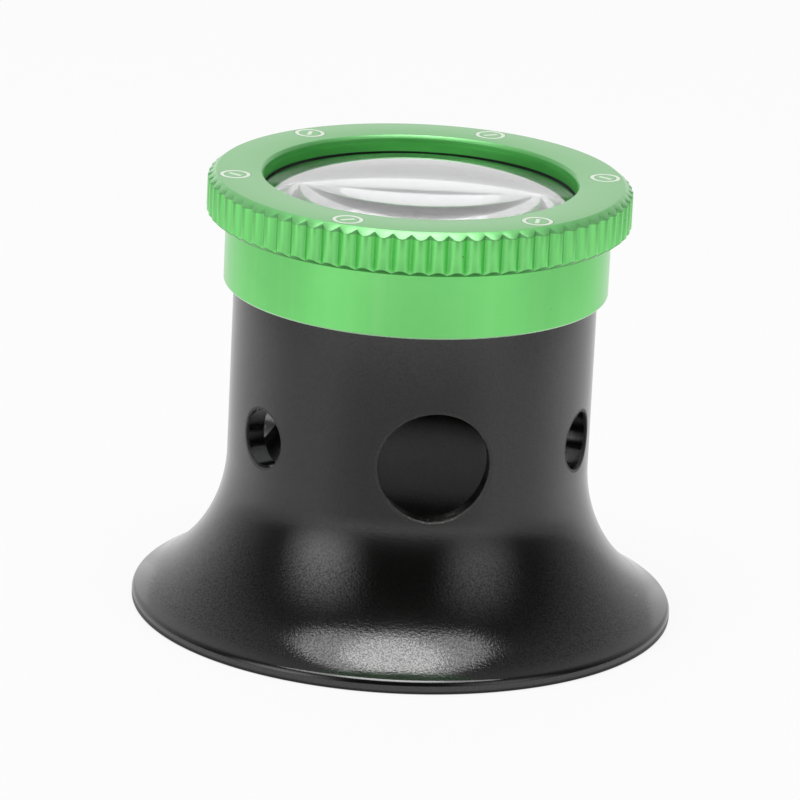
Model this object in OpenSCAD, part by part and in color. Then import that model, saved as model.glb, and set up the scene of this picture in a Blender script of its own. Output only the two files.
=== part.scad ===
// Eye loupe: a knurled lens head that screws into a vented, flared eyecup.
// The origin is the centre of the rim's underside, and the axis is +Z.

/* [Eyecup] */
// Outer radius of the rim
rim_r = 21.9; // [20.5:0.1:24]
// Radius that rounds the top of the rim into the flare
rim_fillet = 0.35; // [0.2:0.05:0.6]
// Radius that rounds the rim's outer bottom edge
rim_round = 0.2; // [0.1:0.05:0.3]
// Wall thickness of the barrel and the flare
cup_wall = 1.7; // [1.4:0.1:1.9]
// Height of the eyecup, from the rim's underside to the barrel's top face
cup_h = 27; // [25:0.5:32]
// Radius of the arc that flares the barrel out to the rim
flare_r = 12.2; // [11:0.1:13]

/* [Vents] */
// Number of large vents, with one small vent between each two
vent_pairs = 3; // [2:1:3]
// Diameter of a large vent
vent_large_d = 9; // [6:0.5:9.5]
// Diameter of a small vent
vent_small_d = 4.8; // [3:0.2:5.6]
// Height of the vents' centres
vent_z = 16.2; // [15:0.1:17]
// Angle of the first large vent, from the front towards +X
vent_angle = 8.7; // [0:0.1:30]

/* [Thread] */
// Wall of the head's threaded spigot
spigot_wall = 0.9; // [0.7:0.05:1.4]
// Wall of the barrel outside the thread
barrel_thread_wall = 0.6; // [0.5:0.05:1]
// Length of the spigot below the head's shoulder
spigot_l = 3.5; // [2.5:0.5:5]
// Chamfer at the spigot's lower end
spigot_chamfer = 0.3; // [0.1:0.05:0.4]
// Radial play of the thread
thread_play = 0.05; // [0.02:0.01:0.08]
// Space below the spigot when the head is screwed home
spigot_space = 0.5; // [0.3:0.1:1]

/* [Head] */
// How far the knurled flange stands out past the plain band
flange_step = 1.57; // [1.2:0.01:3]
// Thickness of the knurled flange
flange_t = 3.55; // [3:0.05:5]
// Height of the plain band between the flange and the barrel
band_h = 5.45; // [5.2:0.05:8]
// How far the plain band stands out past the barrel
band_step = 0.83; // [0.3:0.01:1.5]
// Radial width of the chamfer round the top face
face_chamfer_w = 0.7; // [0.4:0.05:0.9]
// Height of the chamfer round the top face
face_chamfer_h = 0.55; // [0.3:0.05:0.8]
// Radial width of the chamfer under the flange
under_chamfer_w = 0.5; // [0.2:0.05:0.7]
// Height of the chamfer under the flange
under_chamfer_h = 0.4; // [0.2:0.05:0.6]
// Chamfer at the lower edge of the plain band
band_chamfer = 0.15; // [0.05:0.05:0.3]
// How far the lip reaches over the edge of the glass
lip_overlap = 0.15; // [0.1:0.05:0.6]
// Depth from the top face to the underside of the lip
lip_t = 1.45; // [1:0.05:1.8]
// Chamfer round the opening
lip_chamfer = 0.45; // [0.2:0.05:0.6]

/* [Knurl] */
// Number of straight V grooves
knurl_count = 72; // [36:2:90]
// Depth of a groove
knurl_depth = 0.44; // [0.2:0.02:0.6]
// Width of a groove at the surface
knurl_width = 1.04; // [0.6:0.02:1.1]
// Angle of one groove, from the front towards +X
knurl_angle = -21.7; // [-30:0.1:30]

/* [Lenses] */
// Radius of both lenses
lens_r = 12.7; // [11:0.1:14]
// Radius of the dome on the upper side of each lens
dome_r = 46; // [40:1:90]
// Thickness of a lens at its edge
lens_edge = 1.7; // [1.2:0.1:1.9]
// Radial play of the lenses in the head
lens_play = 0.05; // [0.03:0.01:0.08]
// Axial play of the lenses between the lip and the retaining ring
stack_play = 0.05; // [0.03:0.01:0.1]

/* [Spacer and retaining ring] */
// Length of the spacer ring
spacer_l = 2; // [1.9:0.05:2.3]
// Radial wall of the spacer ring
spacer_wall = 0.8; // [0.5:0.1:1]
// Gap between the spacer's lower edge and the dome that it rests on
spacer_gap = 0.01; // [0.01:0.01:0.03]
// How far the retaining ring stands out past the lenses
retainer_step = 0.3; // [0.2:0.05:0.6]
// How far the retaining ring reaches under the lower lens
retainer_lip = 1.1; // [0.6:0.1:2]
// Thickness of the retaining ring
retainer_t = 1.8; // [1.2:0.1:2.2]
// Width of a spanner slot
slot_w = 1.2; // [0.8:0.1:2]
// Depth of a spanner slot
slot_depth = 0.8; // [0.4:0.1:1]
// How far the retaining ring's thread runs up past the lower lens's flat side
thread_runout = 0.3; // [0.1:0.05:0.6]

/* [Hidden] */
// How far a cut runs past the surface that it opens
past = 1;
// Steps of a rounded corner and of the long flare arc
corner_steps = 6;
flare_steps = 32;

// Radii from the lenses outwards
seat_r = lens_r + lens_play;
lip_r = lens_r - lip_overlap;
retainer_r = lens_r + retainer_step;
retainer_bore_r = lens_r - retainer_lip;
retainer_seat_r = retainer_r + thread_play;
spigot_r = retainer_seat_r + spigot_wall;
cup_thread_r = spigot_r + thread_play;
barrel_r = cup_thread_r + barrel_thread_wall;
barrel_bore_r = barrel_r - cup_wall;
band_r = barrel_r + band_step;
flange_r = band_r + flange_step;

// Levels of the head
head_top = cup_h + band_h + flange_t;
flange_z = cup_h + band_h;
lip_z = head_top - lip_t;

// Levels of the lens stack, from the lip downwards
upper_edge_z = lip_z - dome_rise(lip_r) - stack_play;
upper_flat_z = upper_edge_z - lens_edge;
spacer_z = upper_flat_z - spacer_l;
lower_edge_z = spacer_z - spacer_gap - dome_rise(lens_r - spacer_wall);
lower_flat_z = lower_edge_z - lens_edge;
retainer_top = lower_flat_z - stack_play;

// Height of the dome at radius r above the dome's edge
function dome_rise(r) = sqrt(dome_r * dome_r - r * r) - sqrt(dome_r * dome_r - lens_r * lens_r);

// Points of an arc round c, from angle a0 to angle a1
function arc(c, r, a0, a1, steps) =
    [for (i = [0:steps]) let (a = a0 + (a1 - a0) * i / steps) c + r * [cos(a), sin(a)]];

// Turns its children from the front to an angle that counts towards +X
module at_angle(a) {
    rotate([0, 0, a]) children();
}

module eyecup() {
    flare_c = [barrel_r + flare_r, flare_r];
    fillet_x = rim_r - rim_fillet;
    fillet_drop = sqrt(pow(flare_r + rim_fillet, 2) - pow(flare_c.x - fillet_x, 2));
    fillet_c = [fillet_x, flare_r - fillet_drop];
    fillet_angle = atan2(fillet_drop, flare_c.x - fillet_x);
    inner_r = flare_r + cup_wall;
    inner_angle = asin(flare_r / inner_r);
    thread_z = cup_h - spigot_l - spigot_space;
    color([0.10, 0.10, 0.10]) difference() {
        rotate_extrude($fn = 180) polygon(concat(
            arc(flare_c, inner_r, 180 + inner_angle, 180, flare_steps),
            [[barrel_bore_r, thread_z], [cup_thread_r, thread_z]],
            [[cup_thread_r, cup_h], [barrel_r, cup_h]],
            arc(flare_c, flare_r, 180, 180 + fillet_angle, flare_steps),
            arc(fillet_c, rim_fillet, fillet_angle, 0, corner_steps),
            arc([rim_r - rim_round, rim_round], rim_round, 0, -90, corner_steps)));
        for (i = [0:vent_pairs - 1]) {
            at_angle(vent_angle + i * 360 / vent_pairs) vent(vent_large_d);
            at_angle(vent_angle + (i + 0.5) * 360 / vent_pairs) vent(vent_small_d);
        }
    }
}

// One round hole through the front of the barrel's wall
module vent(d) {
    translate([0, -barrel_bore_r / 2, vent_z])
        rotate([90, 0, 0]) cylinder(d = d, h = barrel_r, $fn = 64);
}

module lens_ring() {
    color([0.36, 0.72, 0.38]) difference() {
        rotate_extrude($fn = 180) polygon([
            [seat_r, lip_z],
            [seat_r, lower_flat_z + thread_runout],
            [retainer_seat_r, lower_flat_z + thread_runout],
            [retainer_seat_r, cup_h - spigot_l],
            [spigot_r - spigot_chamfer, cup_h - spigot_l],
            [spigot_r, cup_h - spigot_l + spigot_chamfer],
            [spigot_r, cup_h],
            [band_r - band_chamfer, cup_h],
            [band_r, cup_h + band_chamfer],
            [band_r, flange_z],
            [flange_r - under_chamfer_w, flange_z],
            [flange_r, flange_z + under_chamfer_h],
            [flange_r, head_top - face_chamfer_h],
            [flange_r - face_chamfer_w, head_top],
            [lip_r + lip_chamfer, head_top],
            [lip_r, head_top - lip_chamfer],
            [lip_r, lip_z]]);
        for (i = [0:knurl_count - 1])
            at_angle(knurl_angle + i * 360 / knurl_count) knurl_groove();
    }
}

// One V groove along the front of the flange
module knurl_groove() {
    mouth = knurl_width / 2 * (knurl_depth + past) / knurl_depth;
    translate([0, -flange_r, flange_z - past]) linear_extrude(flange_t + 2 * past)
        polygon([[0, knurl_depth], [-mouth, -past], [mouth, -past]]);
}

// A plano-convex lens with its flat side down, by the level of the dome's edge
module lens(edge_z) {
    centre_z = edge_z - sqrt(dome_r * dome_r - lens_r * lens_r);
    intersection() {
        translate([0, 0, edge_z - lens_edge]) cylinder(r = lens_r, h = dome_r, $fn = 180);
        translate([0, 0, centre_z]) sphere(r = dome_r, $fn = 360);
    }
}

module upper_lens() {
    color([0.80, 0.86, 0.90]) lens(upper_edge_z);
}

module lower_lens() {
    color([0.72, 0.80, 0.86]) lens(lower_edge_z);
}

module spacer_ring() {
    color([0.20, 0.20, 0.21]) translate([0, 0, spacer_z])
        ring(lens_r, lens_r - spacer_wall, spacer_l);
}

module retaining_ring() {
    color([0.16, 0.16, 0.17]) translate([0, 0, retainer_top - retainer_t]) difference() {
        ring(retainer_r, retainer_bore_r, retainer_t);
        translate([-retainer_r - past, -slot_w / 2, -past])
            cube([2 * (retainer_r + past), slot_w, slot_depth + past]);
    }
}

// A plain ring that stands on z = 0
module ring(outer_r, inner_r, h) {
    difference() {
        cylinder(r = outer_r, h = h, $fn = 180);
        translate([0, 0, -past]) cylinder(r = inner_r, h = h + 2 * past, $fn = 180);
    }
}

eyecup();
lens_ring();
upper_lens();
spacer_ring();
lower_lens();
retaining_ring();
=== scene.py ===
"""Looks of the eye loupe: a black vented eyecup with a wide flare, and a green head with two lenses."""
import math

import bpy
from mathutils import Matrix, Vector


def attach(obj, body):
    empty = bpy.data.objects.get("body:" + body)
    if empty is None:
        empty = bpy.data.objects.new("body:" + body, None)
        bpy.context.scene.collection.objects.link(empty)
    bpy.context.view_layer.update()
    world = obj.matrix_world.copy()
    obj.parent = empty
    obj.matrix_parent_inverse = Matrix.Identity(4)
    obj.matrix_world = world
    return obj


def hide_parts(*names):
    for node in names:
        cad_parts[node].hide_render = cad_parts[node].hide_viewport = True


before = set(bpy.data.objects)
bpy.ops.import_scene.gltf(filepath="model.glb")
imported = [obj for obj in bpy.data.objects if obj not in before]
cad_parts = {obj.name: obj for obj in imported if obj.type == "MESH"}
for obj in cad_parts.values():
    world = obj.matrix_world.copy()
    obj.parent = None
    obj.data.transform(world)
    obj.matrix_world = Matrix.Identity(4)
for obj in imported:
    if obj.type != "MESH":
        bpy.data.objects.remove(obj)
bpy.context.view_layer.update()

MM = 0.001
DEGREES = 180 / math.pi
RADIANS = math.pi / 180

# Millimetres and degrees, the same as in the part's source to a thousandth
RIM_R = 21.9
RIM_ROUND = 0.2
CUP_WALL = 1.7
CUP_H = 27.0
FLARE_R = 12.2
BARREL_R = 14.6
BARREL_BORE_R = 12.9
CUP_THREAD_R = 14.0
CUP_THREAD_Z = 23.0
LARGE_VENTS = 3
VENT_Z = 16.2
VENT_ANGLE = 8.7
VENT_LARGE_R = 4.5
VENT_SMALL_R = 2.4
HEAD_TOP = 36.0
FLANGE_Z = 32.45
FLANGE_R = 17.0
BAND_R = 15.43
FACE_CHAMFER_W = 0.7
FACE_CHAMFER_H = 0.55
UNDER_CHAMFER_W = 0.5
UNDER_CHAMFER_H = 0.4
BAND_CHAMFER = 0.15
KNURL_COUNT = 72
KNURL_ANGLE = -21.7
LIP_R = 12.55
LIP_Z = 34.55
SEAT_R = 12.75
RETAINER_SEAT_R = 13.05
RETAINER_SEAT_Z = 29.125
SPIGOT_R = 13.95
SPIGOT_Z = 23.5
LENS_R = 12.7
DOME_R = 46.0
LENS_EDGE = 1.7
UPPER_EDGE_Z = 34.457
LOWER_EDGE_Z = 30.525
SPACER_WALL = 0.8
SPACER_TOP = 32.757
SPACER_BOTTOM = 30.757
RETAINER_TOP = 28.775
RETAINER_BOTTOM = 26.975
RETAINER_R = 13.0
RETAINER_BORE_R = 11.6
SLOT_W = 1.2
SLOT_DEPTH = 0.8

# Millimetres and degrees that follow the photograph more closely than the source does
RIM_FILLET = 0.55
OUTER_FLARE_R = 13.1
OUTER_FLARE_Z = 12.7
SMALL_VENT_ANGLES = (68.7, 188.7, 307.1)
LIP_CHAMFER_W = 0.20
LIP_CHAMFER_H = 0.27
# How much higher the lip's underside is than in the source
LIP_GAP = 0.07
LIP_UNDER_Z = LIP_Z + LIP_GAP

# Details that the source leaves out: marks, broken edges of the vents, rounded teeth and thread ridges
MARK_COUNT = 6
MARK_R = 14.9
MARK_RING_R = 1.06
MARK_BAR_HALF = 0.56
# How far a vent's bore is under its full radius, which leaves room for its broken edge
VENT_BREAK = 0.04
# Rings of a vent's cutter: how far each is outside the bore, and the radius of the shell it lies on
VENT_EDGE = ((0.0, 14.52), (0.03, 14.575), (0.075, 14.62), (0.35, 14.85))
# Degrees from the middle of a knurl tooth, and the flange's radius there
TOOTH_PROFILE = ((0.5, 16.988), (1.0, 16.930), (1.5, 16.820), (2.0, 16.695), (2.5, 16.56))
SPIGOT_ROOT_R = 13.66
THREAD_PITCH = 0.5
# Half the width of a thread ridge at its root and at its crest, and how deep its foot is in the wall
THREAD_HALF_ROOT = 0.23
THREAD_HALF_CREST = 0.04
THREAD_SINK = 0.03
# Turns over which a ridge runs out at each end, and the share of its height that is left there
THREAD_RUNOUT = 0.3
THREAD_END = 0.08

# Columns of the turned pieces and of the vents' cutters, and of one turn of a thread
CUP_COLUMNS = 512
HEAD_COLUMNS = 720
STACK_COLUMNS = 256
VENT_COLUMNS = 112
THREAD_COLUMNS = 120


def arc(centre, radius, start, end, steps):
    """Points of an arc, in (radius, height), from one angle to another in degrees."""
    points = []
    for i in range(steps + 1):
        a = math.radians(start + (end - start) * i / steps)
        points.append((centre[0] + radius * math.cos(a), centre[1] + radius * math.sin(a)))
    return points


def eased(before, corner, after, size, steps=3):
    """The corner of an outline, broken over a length of size on both sides."""
    b, c, a = Vector(before), Vector(corner), Vector(after)
    start = c + (b - c).normalized() * size
    end = c + (a - c).normalized() * size
    points = []
    for i in range(steps + 1):
        t = i / steps
        p = start * (1 - t) ** 2 + c * 2 * t * (1 - t) + end * t * t
        points.append((p.x, p.y))
    return points


def select_alone(piece):
    """Selects one piece and nothing else, and makes it the active one."""
    bpy.ops.object.select_all(action="DESELECT")
    piece.select_set(True)
    bpy.context.view_layer.objects.active = piece


def turn(name, outline, columns, angle=0.0, closed=True):
    """Turns an outline of (radius, height) round the Z axis: a circle, extruded and resized ring by ring."""
    bpy.ops.object.select_all(action="DESELECT")
    radius, height = outline[0]
    bpy.ops.mesh.primitive_circle_add(
        vertices=columns,
        radius=radius * MM,
        location=(0, 0, height * MM),
        rotation=(0, 0, math.radians(angle)),
    )
    piece = bpy.context.object
    piece.name = name
    piece.data.name = name
    bpy.ops.object.transform_apply(location=True, rotation=True, scale=True)
    bpy.ops.object.mode_set(mode="EDIT")
    bpy.ops.mesh.select_mode(type="EDGE")
    bpy.ops.mesh.select_all(action="SELECT")
    rings = outline[1:] + outline[:1] if closed else outline[1:]
    for next_radius, next_height in rings:
        rise = (0, 0, (next_height - height) * MM)
        bpy.ops.mesh.extrude_edges_move(TRANSFORM_OT_translate={"value": rise})
        ratio = next_radius / radius
        bpy.ops.transform.resize(value=(ratio, ratio, 1), center_override=(0, 0, 0))
        radius, height = next_radius, next_height
    bpy.ops.mesh.select_mode(type="VERT")
    bpy.ops.mesh.select_all(action="SELECT")
    bpy.ops.mesh.remove_doubles(threshold=0.0005 * MM)
    bpy.ops.mesh.normals_make_consistent(inside=False)
    bpy.ops.object.mode_set(mode="OBJECT")
    return piece


def pick(piece, test):
    """Opens edit mode with the vertices selected that pass a test.

    The test takes a radius and a height in millimetres, and an angle from the front in degrees.
    """
    select_alone(piece)
    bpy.ops.object.mode_set(mode="EDIT")
    bpy.ops.mesh.select_mode(type="VERT")
    bpy.ops.mesh.select_all(action="DESELECT")
    bpy.ops.object.mode_set(mode="OBJECT")
    for v in piece.data.vertices:
        around = math.degrees(math.atan2(v.co.x, -v.co.y))
        v.select = test(math.hypot(v.co.x, v.co.y) / MM, v.co.z / MM, around)
    bpy.ops.object.mode_set(mode="EDIT")


def close_poles(piece, radius):
    """Draws the smallest ring at each end of a turned piece together to a point on the axis."""
    pick(piece, lambda r, z, a: r < radius)
    bpy.ops.mesh.merge(type="COLLAPSE")
    bpy.ops.mesh.select_all(action="SELECT")
    bpy.ops.mesh.normals_make_consistent(inside=False)
    bpy.ops.object.mode_set(mode="OBJECT")


def modify(piece, kind, **settings):
    """Adds a modifier to a piece and applies it."""
    select_alone(piece)
    modifier = piece.modifiers.new(kind.lower(), kind)
    for key, value in settings.items():
        setattr(modifier, key, value)
    bpy.ops.object.modifier_apply(modifier=modifier.name)


def smooth(piece, degrees):
    """Shades a piece smooth, except at edges sharper than an angle."""
    select_alone(piece)
    bpy.ops.object.shade_smooth_by_angle(angle=math.radians(degrees))


def join(main, others):
    """Makes other pieces a part of the main one."""
    select_alone(main)
    for other in others:
        other.select_set(True)
    bpy.ops.object.join()
    return main


def cut(piece, tool):
    """Takes the tool's volume out of a piece and throws the tool away."""
    modify(piece, "BOOLEAN", operation="DIFFERENCE", solver="EXACT", object=tool)
    bpy.data.objects.remove(tool)


def dress(piece, body, node, finish):
    """Says which body a finished piece rides on, which solid it stands for, and its finish."""
    piece.data.materials.clear()
    piece.data.materials.append(finish)
    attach(piece, body)
    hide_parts(node)


class Signal:
    """A node's output that adds Math nodes when it is used in an expression."""

    def __init__(self, finish, socket):
        self.finish = finish
        self.socket = socket

    def maths(self, operation, *values):
        made = self.finish.node("Math", {"operation": operation}, dict(enumerate(values)))
        return Signal(self.finish, made.outputs[0])

    def __add__(self, other):
        return self.maths("ADD", self, other)

    def __radd__(self, other):
        return self.maths("ADD", other, self)

    def __sub__(self, other):
        return self.maths("SUBTRACT", self, other)

    def __rsub__(self, other):
        return self.maths("SUBTRACT", other, self)

    def __mul__(self, other):
        return self.maths("MULTIPLY", self, other)

    def __rmul__(self, other):
        return self.maths("MULTIPLY", other, self)

    def __truediv__(self, other):
        return self.maths("DIVIDE", self, other)

    def __rtruediv__(self, other):
        return self.maths("DIVIDE", other, self)

    def __neg__(self):
        return self.maths("MULTIPLY", self, -1.0)

    def __abs__(self):
        return self.maths("ABSOLUTE", self)

    def root(self):
        return self.maths("SQRT", self)

    def sine(self):
        return self.maths("SINE", self)

    def cosine(self):
        return self.maths("COSINE", self)

    def least(self, other):
        return self.maths("MINIMUM", self, other)

    def most(self, other):
        return self.maths("MAXIMUM", self, other)

    def fold(self, step):
        """Folds a value into half a step on both sides of zero."""
        return self.maths("FLOORED_MODULO", self + step / 2, step) - step / 2

    def rise(self, low, high):
        """0 below low and 1 above high, with a smooth rise between; the other way round if low is greater."""
        made = self.finish.node(
            "MapRange",
            {"interpolation_type": "SMOOTHSTEP"},
            {"Value": self, "From Min": low, "From Max": high, "To Min": 0.0, "To Max": 1.0},
        )
        return Signal(self.finish, made.outputs[0])

    def band(self, middle, half, soft):
        """1 within half of middle, with soft edges."""
        return abs(self - middle).rise(half + soft, half)


def bearing(x, y):
    """The angle of a place round the Z axis, in degrees from the front towards +X."""
    return x.maths("ARCTAN2", x, -y) * DEGREES


class Finish:
    """A material or a world, with the one method that adds a node to it and others that use it."""

    def __init__(self, name, world=False):
        if world:
            self.owner = bpy.data.worlds.new(name)
        else:
            self.owner = bpy.data.materials.new(name)
        self.owner.use_nodes = True
        self.tree = self.owner.node_tree
        self.tree.nodes.clear()

    def node(self, kind, settings=None, values=None):
        """Adds a node, sets its settings, and then its sockets, each to a value or a link."""
        made = self.tree.nodes.new("ShaderNode" + kind)
        for key, value in (settings or {}).items():
            if key == "stops":
                elements = made.color_ramp.elements
                while len(elements) < len(value):
                    elements.new(0.5)
                for element, (position, grey) in zip(elements, value):
                    element.position = position
                    element.color = (grey, grey, grey, 1)
            else:
                setattr(made, key, value)
        for key, value in (values or {}).items():
            if isinstance(value, Signal):
                self.tree.links.new(value.socket, made.inputs[key])
            elif isinstance(value, bpy.types.NodeSocket):
                self.tree.links.new(value, made.inputs[key])
            elif isinstance(value, tuple) and made.inputs[key].type == "RGBA":
                made.inputs[key].default_value = (*value, 1)
            else:
                made.inputs[key].default_value = value
        return made

    def parts(self, vector):
        """The x, y and z of a vector."""
        made = self.node("SeparateXYZ", None, {0: vector})
        return [Signal(self, made.outputs[i]) for i in range(3)]

    def place(self):
        """The place on the piece in millimetres: x, y, z, the radius, and the vector itself."""
        coordinates = self.node("TexCoord").outputs["Object"]
        scaled = self.node("VectorMath", {"operation": "SCALE"}, {0: coordinates, "Scale": 1 / MM})
        vector = scaled.outputs[0]
        x, y, z = self.parts(vector)
        return x, y, z, (x * x + y * y).root(), vector

    def noise(self, vector, scale, detail=2.0, roughness=0.5):
        """A random pattern. Its scale is about how many swells there are to the millimetre."""
        values = {"Vector": vector, "Scale": scale, "Detail": detail, "Roughness": roughness}
        return Signal(self, self.node("TexNoise", None, values).outputs[0])

    def lines(self, along, scale, detail):
        """Random lines across one direction, as a turning tool leaves them."""
        values = {"W": along, "Scale": scale, "Detail": detail}
        return Signal(self, self.node("TexNoise", {"noise_dimensions": "1D"}, values).outputs[0])

    def specks(self, vector, per_mm, size, share):
        """Small round specks in a share of the cells of a random pattern."""
        cells = self.node("TexVoronoi", None, {"Vector": vector, "Scale": per_mm})
        away = Signal(self, cells.outputs["Distance"]) / per_mm
        lot = self.node("SeparateColor", None, {0: cells.outputs["Color"]})
        chosen = Signal(self, lot.outputs[0]).rise(1 - share, 1.001 - share)
        width = size * (0.5 + Signal(self, lot.outputs[1]))
        return (width - away).rise(0.0, 0.4 * size) * chosen

    def mixed(self, factor, first, second):
        """One colour where the factor is 0 and another where it is 1."""
        values = {0: factor, 6: first, 7: second}
        return self.node("Mix", {"data_type": "RGBA"}, values).outputs[2]

    def layered(self, shade, layers):
        """A colour with others laid over it in turn, each as far as its mask lets it."""
        for mask, colour in layers:
            shade = self.mixed(mask, shade, colour)
        return shade

    def bump(self, height, depth_mm, under=None):
        """A normal for a relief of so many millimetres, over another relief if one is given."""
        values = {"Height": height, "Distance": depth_mm * MM, "Strength": 1.0}
        if under is not None:
            values["Normal"] = under
        return self.node("Bump", None, values).outputs[0]

    def surface(self, shader):
        """Ends the tree with a shader, and gives back the material or the world."""
        kind = "OutputWorld" if isinstance(self.owner, bpy.types.World) else "OutputMaterial"
        self.node(kind, None, {"Surface": shader.outputs[0]})
        return self.owner


# Camera

def add_camera():
    """The camera of the photograph, fitted to the rims' ellipses."""
    place = (0, -0.462059, 0.161679)
    yaw, pitch, roll = -0.0017633, 0.3030153, 0.0482348
    data = bpy.data.cameras.new("camera")
    data.sensor_width = 36
    data.lens = 270
    data.clip_start = 0.01
    camera = bpy.data.objects.new("camera", data)
    bpy.context.scene.collection.objects.link(camera)
    camera.matrix_world = (
        Matrix.Translation(place)
        @ Matrix.Rotation(-yaw, 4, "Z")
        @ Matrix.Rotation(math.pi / 2 - pitch, 4, "X")
        @ Matrix.Rotation(roll, 4, "Z")
    )
    bpy.context.scene.camera = camera


# Light and floor

def softbox(name, azimuth, elevation, distance, size, radiance):
    """A soft oval lamp that faces the loupe, with its radiance where 1 is white."""
    aim = Vector((0, 0, 0.02))
    area = math.pi / 4 * size[0] * size[1]
    data = bpy.data.lights.new(name, "AREA")
    data.shape = "ELLIPSE"
    data.size, data.size_y = size
    data.energy = radiance * math.pi * area
    lamp = bpy.data.objects.new(name, data)
    bpy.context.scene.collection.objects.link(lamp)
    az, el = math.radians(azimuth), math.radians(elevation)
    away = Vector((math.sin(az) * math.cos(el), -math.cos(az) * math.cos(el), math.sin(el)))
    lamp.location = aim + away * distance
    lamp.rotation_euler = (-away).to_track_quat("-Z", "Y").to_euler()
    lamp.visible_camera = False


def studio():
    """A white studio that is dark behind the camera, so that the black cup keeps its dark front."""
    world = Finish("studio", world=True)
    x, y, z = world.parts(world.node("TexCoord").outputs["Generated"])
    # Grey of the walls, from behind the camera round to behind the loupe
    stops = [(0.0, 0.03), (0.14, 0.05), (0.34, 0.085), (0.5, 0.145), (0.68, 0.43), (0.84, 0.74), (0.96, 0.92)]
    round_about = world.node("ValToRGB", {"stops": stops}, {0: y * 0.5 + 0.5})
    walls = Signal(world, world.node("SeparateColor", None, {0: round_about.outputs[0]}).outputs[0])
    # A soft window on each side of the camera, the left one brighter, and a glow low behind the camera
    heading = abs(bearing(x, y))
    height = z.maths("ARCSINE", z) * DEGREES
    windows = heading.band(49.0, 2.0, 29.0) * height.band(10.0, 8.0, 42.0) * height.rise(-14.0, 16.0)
    glow = height.rise(14.0, -6.0) * y.rise(-0.3, -0.9)
    bright = walls * (1.0 - x * 0.2) + windows * (1.45 - x * 0.7) + glow * 0.25
    # White to the camera, and a little under two thirds of that through the glasses
    path = world.node("LightPath")
    camera = Signal(world, path.outputs["Is Camera Ray"])
    through = Signal(world, path.outputs["Is Transmission Ray"])
    strength = camera.most(through * (0.64 - x * 0.08)) + (1.0 - camera.most(through)) * bright
    background = world.node("Background", None, {"Color": (1.0, 1.0, 1.0), "Strength": strength})
    bpy.context.scene.world = world.surface(background)
    # The two lamps overhead are at different distances, because at the same one only one of them shows
    softbox("overhead_middle", azimuth=-7, elevation=82.5, distance=0.59, size=(0.28, 0.30), radiance=4.2)
    softbox("overhead_edge", azimuth=-7, elevation=82.0, distance=0.62, size=(0.66, 0.39), radiance=3.1)
    softbox("rear_panel", azimuth=180, elevation=21, distance=0.90, size=(0.90, 0.90), radiance=0.30)


def add_floor():
    """A white floor that still takes the loupe's faint shadow."""
    bpy.ops.object.select_all(action="DESELECT")
    bpy.ops.mesh.primitive_circle_add(vertices=96, radius=1.6, fill_type="NGON", location=(0, 0, 0))
    floor = bpy.context.object
    floor.name = "floor"
    paint = Finish("white_floor")
    path = paint.node("LightPath")
    glossy = Signal(paint, path.outputs["Is Glossy Ray"])
    seen = Signal(paint, path.outputs["Is Camera Ray"]).most(glossy)
    seen = seen.most(Signal(paint, path.outputs["Is Transmission Ray"]))
    _, y, _, radius, _ = paint.place()
    # How much the floor's glow is dimmed in reflections: near the loupe, beyond that, and close under the
    # rim, where it is a painted shadow
    facing = y / radius
    near = facing.rise(0.3, -0.3) * 0.26 + facing.rise(-0.6, -0.95) * 0.29
    far = facing.rise(0.95, 0.15) * 0.46 - facing.rise(-0.2, -0.8) * 0.46 + y.rise(-130.0, -300.0) * 0.3
    beyond = radius.rise(99.0, 104.0)
    dim = (near * (1.0 - beyond) + far * beyond) * radius.rise(28.0, 50.0) + radius.rise(22.7, 22.2) * 0.7
    # Inside the rim the floor is a darker grey that doesn't glow: painted shade under the cup
    outside = radius.rise(RIM_R - 0.5, RIM_R)
    shade = paint.mixed(outside, (0.55, 0.55, 0.55), (0.80, 0.80, 0.80))
    plain = paint.node("BsdfDiffuse", None, {"Color": shade})
    white = paint.node("Emission", None, {"Color": (1.0, 1.0, 1.0), "Strength": 1.0 - glossy * dim})
    values = {0: seen * (outside * 0.87), 1: plain.outputs[0], 2: white.outputs[0]}
    floor.data.materials.append(paint.surface(paint.node("MixShader", None, values)))


# Finishes

def vent_distance(x, y, z):
    """How far a point on the barrel is outside the edge of the nearest vent, in mm."""
    around = bearing(x, y)
    vents = [(VENT_ANGLE, 360 / LARGE_VENTS, VENT_LARGE_R)]
    vents += [(angle, 360.0, VENT_SMALL_R) for angle in SMALL_VENT_ANGLES]
    up = z - VENT_Z
    nearest = None
    for start, step, radius in vents:
        across = ((around - start).fold(step) * RADIANS).sine() * BARREL_R
        gap = (across * across + up * up).root() - radius
        nearest = gap if nearest is None else nearest.least(gap)
    return nearest


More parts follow.
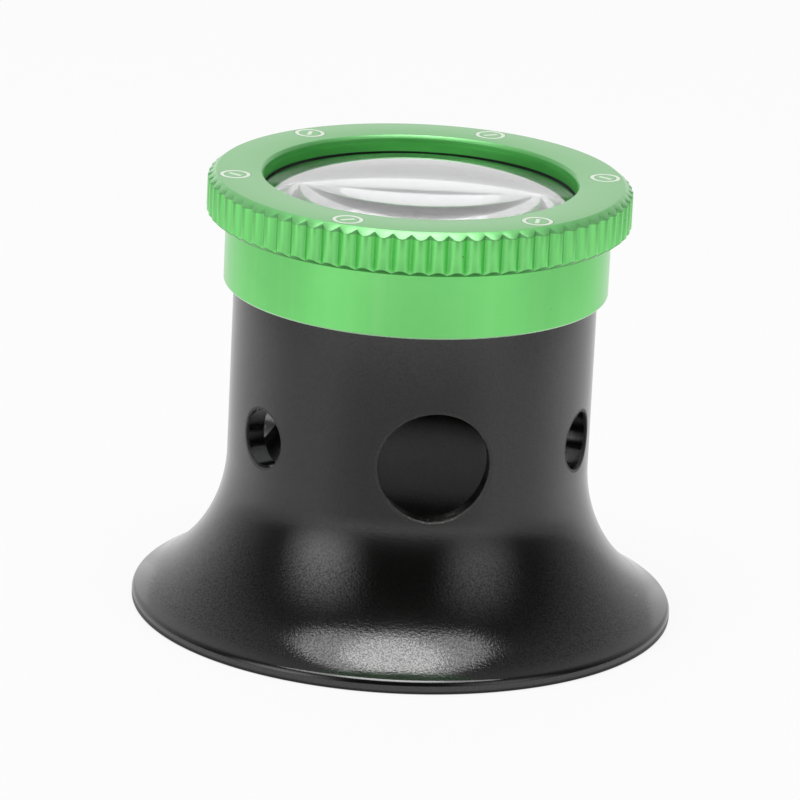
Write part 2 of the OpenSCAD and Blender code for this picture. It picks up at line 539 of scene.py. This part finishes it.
def black_anodised():
    """Deep black satin anodising with a fine blasted grain, bright worn edges and a little dust."""
    paint = Finish("black_satin")
    x, y, z, radius, place = paint.place()
    grain = paint.noise(place, 4.5, 1.0, 0.6)
    fine = paint.noise(place, 7.5, 1.0, 0.6)
    cloud = paint.noise(place, 0.35, 3.0)
    turned = paint.lines(z, 14.0, 2.0)
    blasted = 0.35 + radius.rise(BARREL_R + 0.05, BARREL_R + 1.4) * 0.65 * z.rise(1.2, 1.8)
    # Wear on the vents' lips and on the rim, a burr at the foot of each large vent, chips and dust
    gap = vent_distance(x, y, z)
    nicks = paint.noise(place, 3.2, 3.0, 0.7).rise(0.52, 0.70)
    lip = gap.band(0.01, 0.04, 0.03) * radius.rise(BARREL_R - 0.4, BARREL_R - 0.2)
    rim = z.band(0.12, 0.10, 0.05) * radius.rise(RIM_R - 0.6, RIM_R - 0.3)
    worn = (lip * (0.2 + nicks * 0.6)).most(rim * 0.35 * nicks)
    burr = gap.band(0.0, 0.04, 0.03) * (z - VENT_Z).rise(-3.2, -4.0)
    burr = burr * radius.rise(BARREL_BORE_R + 0.5, BARREL_BORE_R + 0.7)
    burr = burr * paint.noise(place, 5.0, 2.0, 0.6).rise(0.59, 0.64)
    chipped = gap.band(0.05, 0.12, 0.05) * radius.rise(BARREL_R - 0.3, BARREL_R - 0.2)
    dust = paint.specks(place, 0.42, 0.055, 0.10) * radius.rise(BARREL_R - 0.2, BARREL_R - 0.1)
    shade = paint.layered((0.0032, 0.0032, 0.0029), (
        (worn, (0.070, 0.067, 0.061)),
        (burr, (0.16, 0.15, 0.13)),
        (dust * 0.75, (0.55, 0.54, 0.50)),
    ))
    rough = 0.175 + (cloud - 0.5) * 0.05 + (fine - 0.5) * blasted * 0.12 + dust * 0.3 + chipped * 0.35
    rough = rough - z.rise(2.6, 1.9) * 0.06
    normal = paint.bump(grain * blasted, 0.010)
    normal = paint.bump(turned, 0.0010, normal)
    shader = paint.node("BsdfPrincipled", None, {
        "Base Color": shade,
        "Metallic": fine.rise(0.38, 0.66) * blasted * 0.5,
        "Roughness": rough,
        "IOR": 1.72,
        "Normal": normal,
    })
    return paint.surface(shader)


def mark_masks(x, y, z, radius):
    """The etched rings on the top face with a straight bar inside each, and the fine edges of the rings."""
    local = (bearing(x, y) - KNURL_ANGLE).fold(360 / MARK_COUNT) * RADIANS
    out = radius * local.cosine() - MARK_R
    along = radius * local.sine()
    away = (out * out + along * along).root()
    ring = away.band(MARK_RING_R, 0.13, 0.05)
    edge = away.band(MARK_RING_R, 0.21, 0.06) - ring
    # The bars stand at 45 degrees to the radius
    slant = 0.7071
    across = out * slant + along * slant
    length = out * slant - along * slant
    bar = across.band(0.0, 0.14, 0.04) * length.band(0.0, MARK_BAR_HALF, 0.05)
    top = z.rise(HEAD_TOP - 0.05, HEAD_TOP - 0.02)
    return ring.most(bar) * top, edge * top


def green_anodised():
    """Bright green anodising: a matt blasted top face with etched marks, and fine turned lines elsewhere."""
    paint = Finish("green_satin")
    x, y, z, radius, place = paint.place()
    grain = paint.noise(place, 10.0, 2.0, 0.6)
    cloud = paint.noise(place, 0.5, 3.0)
    turned = paint.lines(z, 16.0, 3.0)
    faced = paint.lines(radius, 12.0, 3.0)
    marks, edge = mark_masks(x, y, z, radius)
    top = z.rise(HEAD_TOP - 0.04, HEAD_TOP - 0.01)
    # The bore's wall, painted in shade as a darker green with less coat, and painted shade near black in the
    # crevice under the lip, over the seat and the foot of the wall
    wall = radius.rise(LIP_R + 0.05, LIP_R + 0.02) * z.rise(HEAD_TOP - 0.24, HEAD_TOP - 0.29)
    crevice_shade = radius.band(LIP_R + 0.35, 0.30, 0.03) * z.rise(LIP_UNDER_Z + 0.05, LIP_UNDER_Z + 0.01)
    crevice_shade = crevice_shade.most(wall * z.rise(LIP_UNDER_Z + 0.06, LIP_UNDER_Z))
    # The flange's underside with its chamfer, painted in shade, and a painted highlight along the lower edge
    # of the band
    slope = UNDER_CHAMFER_W / UNDER_CHAMFER_H
    under = (z * slope + (FLANGE_R - UNDER_CHAMFER_W - FLANGE_Z * slope) - radius).rise(0.09, 0.05)
    under = under.most(z.rise(FLANGE_Z + 0.07, FLANGE_Z + 0.04)) * radius.rise(BAND_R + 0.04, BAND_R + 0.12)
    under = under * z.rise(FLANGE_Z + 0.5, FLANGE_Z + 0.45)
    foot = z.rise(CUP_H + 0.17, CUP_H + 0.13) * radius.rise(BAND_R - 0.20, BAND_R - 0.14)
    # Painted shade in the bottoms of the knurl's grooves, and the chamfers round the opening and the face
    groove_shade = radius.rise(FLANGE_R - 0.20, FLANGE_R - 0.40) * radius.rise(BAND_R + 0.8, BAND_R + 0.9)
    groove_shade = groove_shade * z.rise(HEAD_TOP - 0.2, HEAD_TOP - 0.5) * z.rise(FLANGE_Z + 0.3, FLANGE_Z + 0.5)
    bevel = radius.rise(LIP_R + 0.25, LIP_R + 0.21).most(radius.rise(FLANGE_R - 0.75, FLANGE_R - 0.7))
    bevel = bevel * z.rise(HEAD_TOP - 0.6, HEAD_TOP - 0.55) * z.rise(HEAD_TOP - 0.01, HEAD_TOP - 0.03)
    # Pits in the outer surfaces, bright nicks in the lip, and streaks along the head's axis
    outer = radius.rise(BAND_R - 0.1, BAND_R - 0.05) * z.rise(HEAD_TOP - 0.4, HEAD_TOP - 0.6)
    pits = paint.specks(place, 0.8, 0.12, 0.12) * radius.rise(BAND_R + 0.2, BAND_R + 0.4)
    pits = pits.most(paint.specks(place, 1.3, 0.055, 0.06)) * outer
    lip = radius.band(LIP_R + 0.03, 0.10, 0.05) * z.rise(HEAD_TOP - 0.7, HEAD_TOP - 0.4)
    nicks = paint.specks(place, 1.1, 0.06, 0.22) * lip
    drawn = paint.node("VectorMath", {"operation": "MULTIPLY"}, {0: place, 1: (1.0, 1.0, 0.06)})
    streaks = paint.noise(drawn.outputs[0], 0.55, 3.0)
    shade = paint.layered(paint.mixed(cloud, (0.200, 0.850, 0.200), (0.233, 0.920, 0.228)), (
        ((streaks - 0.5) * 1.2 * (1.0 - top), (0.33, 0.94, 0.30)),
        (top * 0.9, (0.252, 0.484, 0.252)),
        (bevel * 0.75, (0.19, 0.52, 0.20)),
        # Painted shade on the bore's wall
        (wall * 0.8, (0.12, 0.66, 0.13)),
        # Painted shade in the bottoms of the grooves
        (groove_shade * 0.28, (0.05, 0.36, 0.07)),
        # Painted shade under the flange
        (under * 0.75, (0.012, 0.12, 0.02)),
        # A painted highlight along the band's lower edge
        (foot * 0.8, (0.62, 0.86, 0.62)),
        (pits * 0.8, (0.02, 0.14, 0.03)),
        # Painted shade near black in the crevice under the lip
        (crevice_shade, (0.006, 0.010, 0.009)),
        (edge * 0.6, (0.05, 0.26, 0.06)),
        (marks * (0.70 + cloud * 0.4), (0.66, 0.72, 0.62)),
        (nicks, (0.85, 0.83, 0.70)),
    ))
    rough = 0.36 + top * 0.10 + bevel * 0.20 + (grain - 0.5) * 0.12 + (cloud - 0.5) * 0.04 + wall * 0.12
    normal = paint.bump(grain - pits * 2.0, 0.004)
    normal = paint.bump(turned * (1.0 - top) + faced * top * 0.6, 0.0016, normal)
    shader = paint.node("BsdfPrincipled", None, {
        "Base Color": shade,
        "Metallic": (1.0 - marks * 0.8) * (1.0 - crevice_shade) * (1.0 - foot * 0.8),
        "Roughness": rough,
        "Coat Weight": (1.0 - wall * 0.6 - top * 0.4) * (1.0 - crevice_shade),
        "Coat Roughness": 0.25,
        "Coat IOR": 1.55,
        "Specular Tint": (0.5, 0.66, 0.5),
        "Normal": normal,
    })
    return paint.surface(shader)


def crown_glass():
    """Clear polished glass with a thin hard coating."""
    paint = Finish("polished_glass")
    shader = paint.node("BsdfPrincipled", None, {
        "Base Color": (0.985, 0.993, 1.0),
        "Roughness": 0.0,
        "IOR": 1.52,
        "Transmission Weight": 1.0,
        "Coat Weight": 0.45,
        "Coat Roughness": 0.0,
        "Coat IOR": 1.5,
    })
    return paint.surface(shader)


def blackened():
    """Matt blackened aluminium with turned lines."""
    paint = Finish("matt_black")
    _, _, z, radius, place = paint.place()
    grain = paint.noise(place, 8.0, 2.0)
    turned = paint.lines(z, 10.0, 2.0)
    faced = paint.lines(radius, 10.0, 2.0)
    shade = paint.mixed(grain, (0.006, 0.006, 0.006), (0.012, 0.012, 0.012))
    normal = paint.bump(turned + faced, 0.002, paint.bump(grain, 0.003))
    shader = paint.node("BsdfPrincipled", None, {
        "Base Color": shade,
        "Roughness": 0.42 + (grain - 0.5) * 0.1,
        "IOR": 1.55,
        "Normal": normal,
    })
    return paint.surface(shader)


# Eyecup

def eyecup_outline():
    """The outline of the cup's wall: from the foot up the inside, over the top, and down the flare."""
    flare_c = (BARREL_R + OUTER_FLARE_R, OUTER_FLARE_Z)
    fillet_x = RIM_R - RIM_FILLET
    drop = math.sqrt((OUTER_FLARE_R + RIM_FILLET) ** 2 - (flare_c[0] - fillet_x) ** 2)
    fillet_c = (fillet_x, OUTER_FLARE_Z - drop)
    fillet_angle = math.degrees(math.atan2(drop, flare_c[0] - fillet_x))
    inner_r = FLARE_R + CUP_WALL
    inner_angle = math.degrees(math.asin(FLARE_R / inner_r))
    inner = arc((BARREL_R + FLARE_R, FLARE_R), inner_r, 180 + inner_angle, 180, steps=40)
    foot = eased((RIM_R - RIM_ROUND, 0.0), inner[0], inner[1], size=0.12)
    thread_foot = (CUP_THREAD_R, CUP_THREAD_Z)
    thread_top = (CUP_THREAD_R, CUP_H)
    barrel_top = (BARREL_R, CUP_H)
    bore_step = eased(inner[-1], (BARREL_BORE_R, CUP_THREAD_Z), thread_foot, size=0.10)
    thread_mouth = eased(thread_foot, thread_top, barrel_top, size=0.10)
    shoulder = eased(thread_top, barrel_top, (BARREL_R, FLARE_R), size=0.22)
    # Rings between, so that no face of the barrel is long where the vents are cut
    bore_courses = [(BARREL_BORE_R, z) for z in (13.6, 15.0, 17.4, 19.0, 21.2)]
    courses = [(BARREL_R, z) for z in (22.6, 21.2, 19.6, 18.0, 16.2, 14.4, 13.3)]
    flare = arc(flare_c, OUTER_FLARE_R, 180, 180 + fillet_angle, steps=64)
    fillet = arc(fillet_c, RIM_FILLET, fillet_angle, 0, steps=10)[1:]
    rim = arc((RIM_R - RIM_ROUND, RIM_ROUND), RIM_ROUND, 0, -90, steps=6)
    return (
        foot + inner[1:] + bore_courses + bore_step + [thread_foot]
        + thread_mouth + shoulder + courses + flare + fillet + rim
    )


def vent_tool(name, radius, angle):
    """A cutter for one round vent: straight through the wall, and widening evenly at the barrel's surface."""
    inside_y, outside_y = -9.0, -17.0
    outwards = {"value": (0, -1.0 * MM, 0)}
    bpy.ops.object.select_all(action="DESELECT")
    bpy.ops.mesh.primitive_circle_add(
        vertices=VENT_COLUMNS,
        radius=radius * MM,
        fill_type="NGON",
        location=(0, inside_y * MM, VENT_Z * MM),
        rotation=(math.pi / 2, 0, 0),
    )
    tool = bpy.context.object
    tool.name = name
    bpy.ops.object.transform_apply(location=True, rotation=True, scale=True)
    bpy.ops.object.mode_set(mode="EDIT")
    bpy.ops.mesh.select_all(action="SELECT")
    wide = radius
    centre = (0, 0, VENT_Z * MM)
    for wider, shell_r in VENT_EDGE:
        bpy.ops.mesh.extrude_region_move(TRANSFORM_OT_translate=outwards)
        ratio = (radius + wider) / wide
        bpy.ops.transform.resize(value=(ratio, 1, ratio), center_override=centre)
        wide = radius + wider
        bpy.ops.object.mode_set(mode="OBJECT")
        for v in tool.data.vertices:
            if v.select:
                v.co.y = -math.sqrt((shell_r * MM) ** 2 - v.co.x ** 2)
        bpy.ops.object.mode_set(mode="EDIT")
    bpy.ops.mesh.extrude_region_move(TRANSFORM_OT_translate=outwards)
    bpy.ops.transform.resize(value=(1, 0, 1), center_override=(0, outside_y * MM, 0))
    bpy.ops.mesh.select_all(action="SELECT")
    bpy.ops.mesh.normals_make_consistent(inside=False)
    bpy.ops.object.mode_set(mode="OBJECT")
    tool.rotation_euler.z = math.radians(angle)
    bpy.ops.object.transform_apply(location=True, rotation=True, scale=True)
    return tool


def add_eyecup(finish):
    """The black cup, turned in one piece and bored with large and small vents by turns."""
    cup = turn("eyecup_shell", eyecup_outline(), CUP_COLUMNS)
    tools = []
    for i, small_angle in enumerate(SMALL_VENT_ANGLES):
        large_angle = VENT_ANGLE + 360 / LARGE_VENTS * i
        tools.append(vent_tool("large_vent_tool", VENT_LARGE_R - VENT_BREAK, large_angle))
        tools.append(vent_tool("small_vent_tool", VENT_SMALL_R - VENT_BREAK, small_angle))
    cut(cup, join(tools[0], tools[1:]))
    smooth(cup, 28)
    modify(cup, "WEIGHTED_NORMAL", keep_sharp=True, weight=60)
    dress(cup, "cup", "eyecup", finish)


# Head

def knurl(ring):
    """Presses the straight grooves into the flange: each tooth is ten columns wide, and rounded."""
    tooth = 360 / KNURL_COUNT
    # How close a vertex has to be to count as part of a step
    near_r, near_z, near_angle = 0.004, 0.02, 0.1
    rows = (
        (HEAD_TOP - FACE_CHAMFER_H, FACE_CHAMFER_H / FACE_CHAMFER_W),
        (FLANGE_Z + UNDER_CHAMFER_H, -UNDER_CHAMFER_H / UNDER_CHAMFER_W),
    )
    for level, slope in rows:
        for offset, radius in TOOTH_PROFILE:
            def on_step(r, z, a):
                turned = abs((a - KNURL_ANGLE) % tooth - tooth / 2)
                in_row = abs(r - FLANGE_R) < near_r and abs(z - level) < near_z
                return in_row and abs(turned - offset) < near_angle
            pick(ring, on_step)
            ratio = radius / FLANGE_R
            bpy.ops.transform.resize(value=(ratio, ratio, 1), center_override=(0, 0, 0))
            bpy.ops.transform.translate(value=(0, 0, (FLANGE_R - radius) * slope * MM))
            bpy.ops.object.mode_set(mode="OBJECT")


def thread(name, root, crest, bottom, top):
    """A right-hand thread ridge: a section swept up a helix, which runs out into the wall at both ends."""
    deep = root - THREAD_SINK if crest > root else root + THREAD_SINK
    start = bottom + THREAD_HALF_ROOT
    turns = (top - THREAD_HALF_ROOT - start) / THREAD_PITCH
    steps = round(THREAD_COLUMNS * turns)
    bpy.ops.object.select_all(action="DESELECT")
    bpy.ops.mesh.primitive_plane_add(size=1 * MM, location=(0, 0, 0), rotation=(math.pi / 2, 0, 0))
    ridge = bpy.context.object
    ridge.name = name
    bpy.ops.object.transform_apply(location=True, rotation=True, scale=True)
    for v in ridge.data.vertices:
        outward = v.co.x > 0
        v.co.x = (crest if outward else deep) * MM
        half = THREAD_HALF_CREST if outward else THREAD_HALF_ROOT
        v.co.z = (start + (half if v.co.z > 0 else -half)) * MM
    bpy.ops.object.mode_set(mode="EDIT")
    bpy.ops.mesh.select_all(action="SELECT")
    bpy.ops.mesh.delete(type="ONLY_FACE")
    bpy.ops.object.mode_set(mode="OBJECT")
    modify(
        ridge, "SCREW", axis="Z", angle=2 * math.pi * turns, screw_offset=THREAD_PITCH * turns * MM,
        iterations=1, steps=steps, render_steps=steps, use_merge_vertices=False, use_smooth_shade=True,
    )
    for v in ridge.data.vertices:
        r = math.hypot(v.co.x, v.co.y)
        if abs(r / MM - crest) < 0.01:
            done = (v.co.z / MM - start) / THREAD_PITCH
            height = min(1.0, max(THREAD_END, min(done, turns - done) / THREAD_RUNOUT))
            ratio = (deep + (crest - deep) * height) * MM / r
            v.co.x *= ratio
            v.co.y *= ratio
    bpy.ops.object.mode_set(mode="EDIT")
    bpy.ops.mesh.select_mode(type="VERT")
    bpy.ops.mesh.select_all(action="SELECT")
    bpy.ops.mesh.fill_holes(sides=4)
    bpy.ops.mesh.select_all(action="SELECT")
    bpy.ops.mesh.normals_make_consistent(inside=False)
    bpy.ops.object.mode_set(mode="OBJECT")
    return ridge


def head_outline():
    """The outline of the head: from the lip down the bore, round the spigot, and up the band to the face."""
    return [
        (SEAT_R, LIP_UNDER_Z),
        (SEAT_R, RETAINER_SEAT_Z),
        (RETAINER_SEAT_R, RETAINER_SEAT_Z),
        (RETAINER_SEAT_R, SPIGOT_Z),
        (SPIGOT_ROOT_R, SPIGOT_Z),
        (SPIGOT_ROOT_R, CUP_H),
        (BAND_R - BAND_CHAMFER, CUP_H),
        (BAND_R, CUP_H + BAND_CHAMFER),
        (BAND_R, FLANGE_Z),
        (FLANGE_R - UNDER_CHAMFER_W, FLANGE_Z),
        (FLANGE_R, FLANGE_Z + UNDER_CHAMFER_H),
        (FLANGE_R, HEAD_TOP - FACE_CHAMFER_H),
        (FLANGE_R - FACE_CHAMFER_W, HEAD_TOP),
        (LIP_R + LIP_CHAMFER_W, HEAD_TOP),
        (LIP_R, HEAD_TOP - LIP_CHAMFER_H),
        (LIP_R, LIP_UNDER_Z),
    ]


def add_lens_ring(finish):
    """The green head: its body with the knurl, and the threads of its spigot and its bore."""
    ring = turn("lens_ring_body", head_outline(), HEAD_COLUMNS, KNURL_ANGLE)
    knurl(ring)
    modify(
        ring, "BEVEL", width=0.045 * MM, segments=2, limit_method="ANGLE", angle_limit=math.radians(24),
        use_clamp_overlap=False, miter_outer="MITER_ARC",
    )
    outer_top = CUP_H - 0.35
    outer = thread("spigot_thread", SPIGOT_ROOT_R, SPIGOT_R, SPIGOT_Z, outer_top)
    # The spigot's lower end is chamfered, so its ridge is cut back there
    for v in outer.data.vertices:
        r = math.hypot(v.co.x, v.co.y)
        limit = (SPIGOT_ROOT_R + max(0.0, v.co.z / MM - SPIGOT_Z)) * MM
        if r > limit:
            v.co.x *= limit / r
            v.co.y *= limit / r
    inner_crest = RETAINER_SEAT_R - 0.26
    inner_bottom, inner_top = SPIGOT_Z + 0.02, RETAINER_BOTTOM - 0.05
    inner = thread("retainer_thread", RETAINER_SEAT_R, inner_crest, inner_bottom, inner_top)
    for piece in (ring, outer, inner):
        smooth(piece, 30)
    join(ring, [outer, inner])
    modify(ring, "WEIGHTED_NORMAL", keep_sharp=True, weight=70)
    dress(ring, "head", "lens_ring", finish)


# Glasses and the rings that hold them

def add_lens(name, node, edge_z, finish):
    """A plano-convex glass with its flat side down and finely ground edges."""
    steps = 32
    pole_r = 0.2
    dome_edge, side_edge, flat_edge = 0.06, 0.05, 0.08
    base = math.sqrt(DOME_R ** 2 - LENS_R ** 2)
    flat_z = edge_z - LENS_EDGE
    dome = []
    for i in range(steps + 1):
        r = pole_r + (LENS_R - dome_edge - pole_r) * i / steps
        dome.append((r, edge_z + math.sqrt(DOME_R ** 2 - r ** 2) - base))
    side = [(LENS_R, edge_z - side_edge), (LENS_R, flat_z + flat_edge), (LENS_R - flat_edge, flat_z)]
    under = [(9.0, flat_z), (5.0, flat_z), (pole_r, flat_z)]
    glass = turn(name, dome + side + under, STACK_COLUMNS, closed=False)
    close_poles(glass, pole_r + 0.1)
    smooth(glass, 25)
    glass.visible_shadow = False
    dress(glass, "lens_stack", node, finish)


def plain_ring(name, outer, inner, bottom, top, size):
    """A turned ring whose four edges are broken over a length of size."""
    corners = [(inner, bottom), (outer, bottom), (outer, top), (inner, top)]
    outline = []
    for i, corner in enumerate(corners):
        outline += eased(corners[i - 1], corner, corners[(i + 1) % 4], size, 2)
    return turn(name, outline, STACK_COLUMNS)


def add_spacer(finish):
    """The plain ring that keeps the two glasses apart."""
    spacer = plain_ring("lens_spacer", LENS_R, LENS_R - SPACER_WALL, SPACER_BOTTOM, SPACER_TOP, 0.06)
    smooth(spacer, 30)
    modify(spacer, "WEIGHTED_NORMAL", keep_sharp=True, weight=60)
    dress(spacer, "lens_stack", "spacer_ring", finish)


def add_retainer(finish):
    """The screwed ring under the lower glass, with two spanner slots in its lower face."""
    ring = plain_ring("lens_retainer", RETAINER_R, RETAINER_BORE_R, RETAINER_BOTTOM, RETAINER_TOP, 0.10)
    # The cutter is longer than the ring is wide, and starts below it
    tool_length, past = 30, 1.0
    slot_z = RETAINER_BOTTOM + SLOT_DEPTH / 2 - past / 2
    bpy.ops.object.select_all(action="DESELECT")
    bpy.ops.mesh.primitive_cube_add(size=1, location=(0, 0, slot_z * MM))
    tool = bpy.context.object
    tool.scale = (tool_length * MM, SLOT_W * MM, (SLOT_DEPTH + past) * MM)
    bpy.ops.object.transform_apply(location=True, rotation=True, scale=True)
    cut(ring, tool)
    smooth(ring, 30)
    modify(ring, "WEIGHTED_NORMAL", keep_sharp=True, weight=60)
    dress(ring, "head", "retaining_ring", finish)


add_camera()
add_floor()
studio()

black = black_anodised()
green = green_anodised()
glass = crown_glass()
matt_black = blackened()
add_eyecup(black)
add_lens_ring(green)
add_lens("upper_glass", "upper_lens", UPPER_EDGE_Z, glass)
add_lens("lower_glass", "lower_lens", LOWER_EDGE_Z, glass)
add_spacer(matt_black)
add_retainer(matt_black)

scene = bpy.context.scene
scene.view_settings.view_transform = "Standard"
# Light is thrown to and fro many times inside the upper glass before it leaves
scene.cycles.max_bounces = 32
scene.cycles.glossy_bounces = 24
scene.cycles.transmission_bounces = 24
